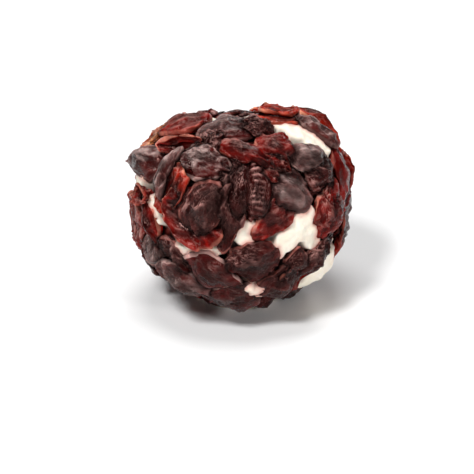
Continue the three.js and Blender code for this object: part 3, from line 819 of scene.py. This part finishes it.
def flesh_and_painted_glow(tree, place, deep, thin, rim, glow):
    """The colour of the gel, painted lighter from deep to thin, and the painted glow of its rim."""
    blotches = add_node(tree, "ShaderNodeTexNoise", {
        "Vector": place, "Scale": 1 / (BLOTCH_SIZE * MM), "Detail": 3.0}).outputs["Fac"]
    thin_mask = add_node(tree, "ShaderNodeAttribute", attribute_name="thin").outputs["Fac"]
    thinness = add_node(tree, "ShaderNodeMapRange", {
        "Value": thin_mask, "From Min": 0.35, "From Max": 1.0, "To Min": -0.16, "To Max": 0.16})
    clear = add_node(tree, "ShaderNodeMath", {
        0: blotches, 1: thinness.outputs["Result"]}, operation="ADD").outputs[0]
    clear_mask = add_node(tree, "ShaderNodeMapRange", {
        "Value": clear, "From Min": 0.28, "From Max": 0.78}).outputs["Result"]
    flesh = add_node(tree, "ShaderNodeMix", {
        "Factor": clear_mask, 6: linear(deep), 7: linear(thin)}, data_type="RGBA").outputs[2]
    painted_glow_mask = add_node(tree, "ShaderNodeAttribute", attribute_name="rim").outputs["Fac"]
    painted_glow_share = add_node(tree, "ShaderNodeMapRange", {
        "Value": painted_glow_mask, "From Min": 0.1, "From Max": 0.7, "To Max": glow}).outputs["Result"]
    return add_node(tree, "ShaderNodeMix", {
        "Factor": painted_glow_share, 6: flesh, 7: linear(rim)}, data_type="RGBA").outputs[2]


# %% [markdown]
# ## Pale lines, painted glints, bloom and painted sheen
#
# Berries rub on each other, and the wax on their crests turns greyish: thin pale lines on the
# wrinkles. Where they face the sky the lines are painted paler still, as glints. Some berries have
# grey bloom all over, and on some a painted sheen of the sky lies over the top. Painting them would
# need a picture. Here two noises run in the berry's own millimetres, drawn out along it as the skin
# is. The fine one gives crests 1 mm apart, and the broad one says where the wax is rubbed.

# %% Pale lines, painted glints, bloom and painted sheen
FINE_SIZE = 1.0
RUBBED_SIZE = 2.8
LENGTHWISE = 0.45  # how much a pattern is drawn out along the berry


def skin_patterns(tree):
    """How far each place is from a fine crest, and how rubbed it is, both as noise values."""
    skin_place = add_node(tree, "ShaderNodeAttribute", attribute_name="skin_place").outputs["Vector"]
    lengthwise = add_node(tree, "ShaderNodeMapping", {
        "Vector": skin_place, "Scale": (LENGTHWISE, 1.0, 1.0)}).outputs["Vector"]
    fine = add_node(tree, "ShaderNodeTexNoise", {
        "Vector": lengthwise, "Scale": 1 / FINE_SIZE, "Detail": 2.0, "Distortion": 0.8}).outputs["Fac"]
    off_middle = add_node(tree, "ShaderNodeMath", {0: fine, 1: 0.5}, operation="SUBTRACT").outputs[0]
    from_crest = add_node(tree, "ShaderNodeMath", {0: off_middle}, operation="ABSOLUTE").outputs[0]
    rubbed = add_node(tree, "ShaderNodeTexNoise", {
        "Vector": lengthwise, "Scale": 1 / RUBBED_SIZE, "Detail": 5.0, "Roughness": 0.65}).outputs["Fac"]
    return from_crest, rubbed


def pale_lines_and_glints(tree, from_crest, rubbed, crinkle, most):
    """How pale the crest lines are: fine and broad crests where rubbed, painted paler as glints facing the
    sky.
    """
    fine_line = add_node(tree, "ShaderNodeMapRange", {
        "Value": from_crest, "From Min": 0.0, "From Max": 0.06, "To Min": 1.0, "To Max": 0.0})
    fine_share = add_node(tree, "ShaderNodeMath", {
        0: fine_line.outputs["Result"], 1: crinkle}, operation="MULTIPLY").outputs[0]
    wrinkle = add_node(tree, "ShaderNodeAttribute", attribute_name="wrinkle").outputs["Fac"]
    ridge = add_node(tree, "ShaderNodeMapRange", {
        "Value": wrinkle, "From Min": 0.35, "From Max": 0.9}).outputs["Result"]
    share = add_node(tree, "ShaderNodeMath", {0: fine_share, 1: ridge}, operation="MAXIMUM").outputs[0]
    rubbed_share = add_node(tree, "ShaderNodeMapRange", {
        "Value": rubbed, "From Min": 0.40, "From Max": 0.62, "To Max": most}).outputs["Result"]
    lines = add_node(tree, "ShaderNodeAttribute", attribute_name="lines").outputs["Fac"]
    lit = add_node(tree, "ShaderNodeAttribute", attribute_name="lit").outputs["Fac"]
    # painted glints: lines that face the sky are made much paler, and those facing away fainter
    lit_share = add_node(tree, "ShaderNodeMapRange", {"Value": lit, "To Min": 0.3, "To Max": 2.6})
    for factor in (rubbed_share, lines, lit_share.outputs["Result"]):
        share = add_node(tree, "ShaderNodeMath", {0: share, 1: factor}, operation="MULTIPLY").outputs[0]
    return share


def bloom_and_painted_sheen(tree, bloom_and_sheen, rubbed):
    """How grey the bloom and the painted sheen of the sky make the skin: patchy, as wherever fruit has been
    handled.
    """
    patches = add_node(tree, "ShaderNodeMapRange", {
        "Value": rubbed, "From Min": 0.36, "From Max": 0.62, "To Min": 0.12}).outputs["Result"]
    return add_node(tree, "ShaderNodeMath", {0: bloom_and_sheen, 1: patches}, operation="MULTIPLY").outputs[0]


# %% [markdown]
# ## Contacts, relief and gloss
#
# The gap attribute paints shade into the contacts, least on raised wrinkles. Crests and grain that
# are finer than the mesh's faces are bump. The skin is sticky, so it has small sharp glints, which
# are softer where it is rubbed and dull where bloom and the painted sheen lie. On so dark a fruit a
# full highlight looks grey, so its level is low and its tint is pinkish, as light that comes back
# out of red gel.

# %% Contacts, relief and gloss
GRAIN_SIZE = 0.32
GRAIN_DEPTH = 0.03
CREST_HEIGHT = 1.2  # drawn higher than it is, so that it shows


def with_painted_contact_shade(tree, colour):
    """The colour turned nearly black as painted shade where another berry touches."""
    gap = add_node(tree, "ShaderNodeAttribute", attribute_name="gap").outputs["Fac"]
    open_share = add_node(tree, "ShaderNodeMapRange", {
        "Value": gap, "From Min": 0.15, "From Max": CONTACT_REACH}).outputs["Result"]
    wrinkle = add_node(tree, "ShaderNodeAttribute", attribute_name="wrinkle").outputs["Fac"]
    raised = add_node(tree, "ShaderNodeMapRange", {
        "Value": wrinkle, "From Max": 0.35, "To Min": 0.4}).outputs["Result"]
    light_share = add_node(tree, "ShaderNodeMath", {
        0: open_share, 1: raised}, operation="MULTIPLY").outputs[0]
    # painted shade: nearly black where another berry is close, less so on raised wrinkles
    return add_node(tree, "ShaderNodeMix", {
        "Factor": light_share, 6: linear("#0c0202"), 7: colour}, data_type="RGBA").outputs[2]


def fine_relief(tree, place, from_crest, crinkle):
    """The normal with fine crests and a waxy grain."""
    crests = add_node(tree, "ShaderNodeBump", {
        "Height": from_crest, "Distance": -CREST_HEIGHT * MM, "Strength": crinkle}).outputs["Normal"]
    grain = add_node(tree, "ShaderNodeTexNoise", {
        "Vector": place, "Scale": 1 / (GRAIN_SIZE * MM), "Detail": 2.0}).outputs["Fac"]
    return add_node(tree, "ShaderNodeBump", {
        "Height": grain, "Distance": GRAIN_DEPTH * MM, "Normal": crests,
        "Strength": 1.0}).outputs["Normal"]


def sticky_gloss(tree, bloom_and_sheen, rubbed):
    """Small sharp glints, softer where the skin is rubbed and dull where bloom and painted sheen lie."""
    gloss = add_node(tree, "ShaderNodeMapRange", {
        "Value": rubbed, "From Min": 0.3, "From Max": 0.7, "To Min": 0.06, "To Max": 0.22})
    return add_node(tree, "ShaderNodeMath", {
        0: bloom_and_sheen, 1: 0.35, 2: gloss.outputs["Result"]}, operation="MULTIPLY_ADD", use_clamp=True).outputs[0]


# %% One finish for each tone
TONES = {
    # deep flesh, thin flesh painted as if lit through, painted rim glow, bloom with painted sheen and
    # glints, how much of the rim glows, how pale a line can be
    "dark": ("#190505", "#420f0d", "#a86258", "#b2827b", 0.8, 0.65),
    "bloomy": ("#1f0808", "#561412", "#cca098", "#b89c96", 0.9, 0.65),
    "red": ("#300606", "#8a130d", "#d07c68", "#c89086", 0.9, 0.55),
    "bright": ("#500a06", "#b4240f", "#f0a080", "#dca898", 0.9, 0.3),
    "amber": ("#a03a18", "#e08048", "#fcd0a8", "#f0c0a8", 0.9, 0.4),
}


def fruit_material(name, deep, thin, rim, bloom_sheen_and_glint_colour, glow, palest_line):
    """Waxy skin over red gel: nearly black, with pale lines and painted glints, a painted rim glow and
    small glints of gloss.
    """
    material = bpy.data.materials.new(name)
    material.use_nodes = True
    tree = material.node_tree
    shader = tree.nodes["Principled BSDF"]
    place = add_node(tree, "ShaderNodeTexCoord").outputs["Object"]
    crinkle = add_node(tree, "ShaderNodeAttribute", attribute_name="crinkle").outputs["Fac"]
    bloom_and_sheen = add_node(tree, "ShaderNodeAttribute", attribute_name="bloom_and_sheen").outputs["Fac"]
    from_crest, rubbed = skin_patterns(tree)
    line_and_glint_share = pale_lines_and_glints(tree, from_crest, rubbed, crinkle, palest_line)
    bloom_sheen_and_glint_share = add_node(tree, "ShaderNodeMath", {
        0: line_and_glint_share, 1: bloom_and_painted_sheen(tree, bloom_and_sheen, rubbed)}, operation="ADD", use_clamp=True).outputs[0]
    colour = add_node(tree, "ShaderNodeMix", {
        "Factor": bloom_sheen_and_glint_share, 6: flesh_and_painted_glow(tree, place, deep, thin, rim, glow), 7: linear(bloom_sheen_and_glint_colour)},
        data_type="RGBA").outputs[2]
    tree.links.new(with_painted_contact_shade(tree, colour), shader.inputs["Base Color"])
    tree.links.new(sticky_gloss(tree, bloom_and_sheen, rubbed), shader.inputs["Roughness"])
    tree.links.new(fine_relief(tree, place, from_crest, crinkle), shader.inputs["Normal"])
    shader.inputs["Specular IOR Level"].default_value = 0.21
    shader.inputs["Specular Tint"].default_value = linear("#ffbcb2")
    shader.inputs["Subsurface Weight"].default_value = 0.12
    shader.inputs["Subsurface Radius"].default_value = (1.0, 0.18, 0.12)
    shader.inputs["Subsurface Scale"].default_value = 1.2 * MM
    return material


fruit_finishes = {
    tone: fruit_material(f"dried_cranberry_skin_{tone}", *values) for tone, values in TONES.items()
}
print("fruit finishes:", len(fruit_finishes))

# %% [markdown]
# ## One piece for each solid
#
# Berries that are stuck together are one solid, so they become one piece. Joining through a bmesh
# keeps every attribute, and each berry keeps its own finish as a material index of its faces.

# %% Make every fruit piece
def joined_object(name, meshes):
    """One object from several meshes, with the material of each kept on its faces."""
    bm = bmesh.new()
    materials = []
    for mesh in meshes:
        start = len(bm.faces)
        bm.from_mesh(mesh)
        bm.faces.ensure_lookup_table()
        if mesh.materials[0] not in materials:
            materials.append(mesh.materials[0])
        for face in bm.faces[start:]:
            face.material_index = materials.index(mesh.materials[0])
    whole = bpy.data.meshes.new(name)
    bm.to_mesh(whole)
    bm.free()
    for material in materials:
        whole.materials.append(material)
    piece = bpy.data.objects.new(name, whole)
    bpy.context.scene.collection.objects.link(piece)
    return piece


for berry in berries:
    berry["mesh"].materials.append(fruit_finishes[berry["tone"]])
fruit_pieces = []
for node in dict.fromkeys(berry["node"] for berry in berries):
    meshes = [berry["mesh"] for berry in berries if berry["node"] == node]
    piece = joined_object(node.replace("cranberry", "dried_fruit"), meshes)
    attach(piece, "root")
    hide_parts(node)
    fruit_pieces.append(piece)
print("fruit pieces:", len(fruit_pieces))

# %% [markdown]
# ## The cheese
#
# Fresh cheese is white, moist and soft. Rolling the ball presses fruit into it, and it squeezes up
# into the gaps. On the laid-out side it is bare in a few patches, each a chain of round spots, and
# elsewhere the gaps are filled with pressed fruit, painted dark as the shade between the berries. A
# boolean cut would give hard edges. So one icosphere is moved in and out instead: out where the
# cheese is bare, and in under the fruit.

# %% Bare patches
BARE_PATCHES = [
    # seen across and up, radius and rise in millimetres
    (7.9, 21.4, 2.0, 0), (11.1, 20.9, 3.0, 0), (14.8, 19.0, 3.2, 0), (18.5, 16.9, 3.0, 0),
    (21.9, 15.3, 2.0, 0), (16.9, -2.6, 2.2, 0.3), (15.3, -6.1, 3.5, 0.3), (18.5, -8.2, 3.0, 0.3),
    (22.4, -9.2, 2.0, 0.3), (11.9, -9.2, 3.0, 0.3), (9.5, -11.9, 2.0, 0.3), (1.6, -7.4, 3.2, 0),
    (4.4, -21.9, 2.2, 0.9), (2.2, -20.5, 0.8, 1.5), (20.5, -17.5, 8.0, 0), (-25.0, 6.4, 2.2, 0.9),
    (-22.6, 0.4, 1.6, 0.6), (-21.6, -2.0, 1.2, 0.4), (-20.6, -4.4, 0.4, 0.6),
    (-16.0, -11.6, 1.2, 0.3), (-14.6, -11.6, 1.1, 0.3), (-13.2, -11.4, 1.0, 0.3), (-11.8, -11.2, 1.0, 0.3),
    (-10.4, -11.2, 1.0, 0.3), (-9.0, -11.4, 1.0, 0.3), (-7.6, -11.7, 1.0, 0.3), (-6.2, -11.9, 1.0, 0.3),
    (-7.9, 24.7, 1.2, 0.8), (8.2, 25.8, 1.2, 0.5),
]
PATCH_EDGE = 1.6

patch_directions = np.array([direction_seen_at(across, up) for across, up, _, _ in BARE_PATCHES])
patch_radii = np.array([radius for _, _, radius, _ in BARE_PATCHES])
patch_rises = np.array([rise for _, _, _, rise in BARE_PATCHES])


def bareness(units):
    """1 in a bare patch and 0 where fruit crowds, and how far the cheese is squeezed up there."""
    distance = np.arccos(np.clip(units @ patch_directions.T, -1, 1)) * BED_HALF_WIDTH
    inside = smooth_share(1 - (distance - patch_radii) / PATCH_EDGE, 0, 1)
    return inside.max(axis=1), (inside * patch_rises).max(axis=1)


# %% A ball with more faces where it is bare
CHEESE_DETAIL = 6
FINE_FROM = 0.05  # the bareness from which its faces are smaller


def cheese_ball():
    """The mesh of a unit icosphere that is finer where the cheese lies bare."""
    bm = bmesh.new()
    bmesh.ops.create_icosphere(bm, subdivisions=CHEESE_DETAIL, radius=1.0)
    bare = bareness(np.array([vertex.co[:] for vertex in bm.verts]))[0] > FINE_FROM
    edges = [edge for edge in bm.edges if bare[edge.verts[0].index] and bare[edge.verts[1].index]]
    bmesh.ops.subdivide_edges(bm, edges=edges, cuts=1, use_grid_fill=True)
    bmesh.ops.triangulate(bm, faces=[face for face in bm.faces if len(face.verts) > 3])
    mesh = bpy.data.meshes.new("fresh_cheese_ball")
    bm.to_mesh(mesh)
    bm.free()
    return mesh


cheese_mesh = cheese_ball()
units = get_points(cheese_mesh).astype(float)
units /= np.linalg.norm(units, axis=1)[:, None]
print("cheese faces:", len(cheese_mesh.polygons))

# %% [markdown]
# ## Gaps on the far side
#
# On the far side the berries lie further apart, and there cheese shows in the wide gaps. Such a
# gap is found rather than placed: a ray straight out of the bed meets no fruit there, and the
# nearest berry is some way off. On the laid-out side the gaps stay filled, and that side reaches
# further round below than on top.

# %% Find the wide gaps
CHEESE_RISE = 0.5
GAP_SHOWS = (0.2, 1.4)  # a gap this far from the fruit begins to show cheese, and does fully
FAR_SIDE = 0.12  # the far side is where a direction's share towards the viewer is under this
MORE_ON_TOP = (0.25, 0.3, 0.8)  # the top adds this to it, between these shares upwards
LESS_BELOW = (0.6, 0.3, 0.7)  # and the underside takes this off

fruit_tree = tree_of(*(piece.data for piece in fruit_pieces))


def bare_in_gaps(units, radii):
    """1 in the wide gaps between the berries of the far side, and 0 elsewhere."""
    shares = np.zeros(len(units))
    upright = units[:, 2]
    limit = FAR_SIDE + MORE_ON_TOP[0] * smooth_share(upright, *MORE_ON_TOP[1:])
    limit -= LESS_BELOW[0] * smooth_share(-upright, *LESS_BELOW[1:])
    for index in np.nonzero(units @ np.array(TO_VIEWER) < limit)[0]:
        direction = Vector(units[index])
        place = (direction * (radii[index] + CHEESE_RISE) + MIDDLE) * MM
        if fruit_tree.ray_cast(place, direction)[0] is None:
            shares[index] = fruit_tree.find_nearest(place)[3] / MM
    return smooth_share(shares, *GAP_SHOWS)


# %% Where the cheese is bare
FOOT_ANGLES = (17, 32)  # degrees from straight down where the foot is full, and where it ends

bed_radii = np.array([bed_radius(Vector(unit)) for unit in units.tolist()])
from_down = np.degrees(np.arccos(np.clip(-units[:, 2], -1, 1)))
sag = 1 - smooth_share(from_down, *FOOT_ANGLES)
bare, squeezed = bareness(units)
bare = np.maximum(np.maximum(bare, sag), bare_in_gaps(units, bed_radii))
print("share of the ball that is bare:", round(float(bare.mean()), 2))

# %% [markdown]
# ## The surface of the cheese
#
# Hand-rolled curd is lumpy, with shallow cracks. Three noises give the lumps, and a thin line of
# crests the cracks. The cheese bulges in the wide bare cheek, and swells where the foot carries
# the ball. In the filled gaps the same mesh is crumpled into folds of pressed fruit.

# %% Shape the cheese
CHEESE_SEED = 300
LUMPS = [(3.4, 0.55), (1.4, 0.28), (0.7, 0.16)]  # width and height
CRACKS = (3.0, 0.22)  # spacing and depth
PRESSED_FOLDS = [(4.0, 0.9), (2.0, 0.5)]  # width and height
PRESSED_MIDDLE = 0.3
SUNK = 2.6  # under and between crowded berries the cheese lies this much deeper
CHEEK_RISE = 2.2
FOOT_SWELL = 3.0

bed_points = units * bed_radii[:, None]
lumps = sum(height * noise_at(bed_points, width, CHEESE_SEED + 1 + i)
            for i, (width, height) in enumerate(LUMPS))
lumps -= CRACKS[1] * crest_at(bed_points, CRACKS[0], CHEESE_SEED + 4) ** 2
pressed = sum(height * crest_at(bed_points, width, CHEESE_SEED + 5 + i)
              for i, (width, height) in enumerate(PRESSED_FOLDS)) - PRESSED_MIDDLE
cheek = np.array(seen_direction(*BARE_CHEEK[0], 0).normalized())
from_cheek = np.degrees(np.arccos(np.clip(units @ cheek, -1, 1)))
bulge = CHEEK_RISE * (1 - smooth_share(from_cheek, 0, BARE_CHEEK[1]))
radii = bed_radii + CHEESE_RISE + squeezed + bulge - SUNK * (1 - bare) + FOOT_SWELL * sag
radii += lumps + (1 - bare) * pressed
points = units * radii[:, None] + np.array(MIDDLE)
points[:, 2] = np.maximum(points[:, 2], 0.0)
set_points(cheese_mesh, points * MM)
cheese_mesh.polygons.foreach_set("use_smooth", [True] * len(cheese_mesh.polygons))
print("cheese height in millimetres:", round(float(points[:, 2].max()), 1))

# %% Values for its colour
STAIN_REACH = 1.0

nearest = [fruit_tree.find_nearest(point)[3] / MM for point in (points * MM).tolist()]
add_values(cheese_mesh, "stain", np.exp(-np.array(nearest) / STAIN_REACH))
add_values(cheese_mesh, "bare", bare)
add_values(cheese_mesh, "pressed_fold", np.clip(pressed, 0, 1))
print("nearest fruit in millimetres:", round(min(nearest), 2))

# %% [markdown]
# ## The finish of the cheese
#
# Fresh cheese scatters light a little way in, so its shadows are soft and creamy, and its fine
# curd makes it matt. Juice stains it pink within a millimetre of the fruit. The filled gaps are
# painted the dark red of fruit in shade, near black in their hollows and lighter on the crests of
# their folds. Cream and stain are mixed by attributes, since a stain has to follow the fruit, and
# the curd is bump because its grain is only 0.6 mm.

# %% Finish of the cheese
CLOUD_SIZE = 4.0
CURD_SIZE = 0.6
CURD_DEPTH = 0.30


def cheese_colour(tree, place):
    """Cream in soft clouds, pink beside the fruit, and in the filled gaps pressed fruit painted dark as
    shade, lighter on its folds.
    """
    stain = add_node(tree, "ShaderNodeAttribute", attribute_name="stain").outputs["Fac"]
    bare_mask = add_node(tree, "ShaderNodeAttribute", attribute_name="bare").outputs["Fac"]
    fold = add_node(tree, "ShaderNodeAttribute", attribute_name="pressed_fold").outputs["Fac"]
    cloud = add_node(tree, "ShaderNodeTexNoise", {
        "Vector": place, "Scale": 1 / (CLOUD_SIZE * MM), "Detail": 3.0}).outputs["Fac"]
    cream = add_node(tree, "ShaderNodeMix", {
        "Factor": cloud, 6: linear("#f4e6d2"), 7: linear("#faf2e4")}, data_type="RGBA").outputs[2]
    stain_share = add_node(tree, "ShaderNodeMapRange", {
        "Value": stain, "From Min": 0.25, "From Max": 1.0}).outputs["Result"]
    stained = add_node(tree, "ShaderNodeMix", {
        "Factor": stain_share, 6: cream, 7: linear("#dc9c8e")}, data_type="RGBA").outputs[2]
    # painted shade: the filled gaps are dark red fruit, near black in their hollows, lighter on fold crests
    pressed_fruit_and_shade = add_node(tree, "ShaderNodeMix", {
        "Factor": fold, 6: linear("#280908"), 7: linear("#6e1e14")}, data_type="RGBA").outputs[2]
    return add_node(tree, "ShaderNodeMix", {
        "Factor": bare_mask, 6: pressed_fruit_and_shade, 7: stained}, data_type="RGBA").outputs[2]


def cheese_material():
    """Moist fresh cheese: matt, creamy white and soft in its shadows."""
    material = bpy.data.materials.new("fresh_white_cheese")
    material.use_nodes = True
    tree = material.node_tree
    shader = tree.nodes["Principled BSDF"]
    place = add_node(tree, "ShaderNodeTexCoord").outputs["Object"]
    curd = add_node(tree, "ShaderNodeTexNoise", {
        "Vector": place, "Scale": 1 / (CURD_SIZE * MM), "Detail": 4.0, "Roughness": 0.6}).outputs["Fac"]
    bump = add_node(tree, "ShaderNodeBump", {
        "Height": curd, "Distance": CURD_DEPTH * MM, "Strength": 0.6}).outputs["Normal"]
    tree.links.new(cheese_colour(tree, place), shader.inputs["Base Color"])
    tree.links.new(bump, shader.inputs["Normal"])
    shader.inputs["Roughness"].default_value = 0.55
    shader.inputs["IOR"].default_value = 1.4
    shader.inputs["Subsurface Weight"].default_value = 0.3
    shader.inputs["Subsurface Radius"].default_value = (1.0, 0.7, 0.5)
    shader.inputs["Subsurface Scale"].default_value = 1.5 * MM
    return material


cheese_mesh.materials.append(cheese_material())
cheese = bpy.data.objects.new("fresh_cheese_ball", cheese_mesh)
bpy.context.scene.collection.objects.link(cheese)
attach(cheese, "root")
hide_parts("cheese")
print("cheese material:", cheese_mesh.materials[0].name)
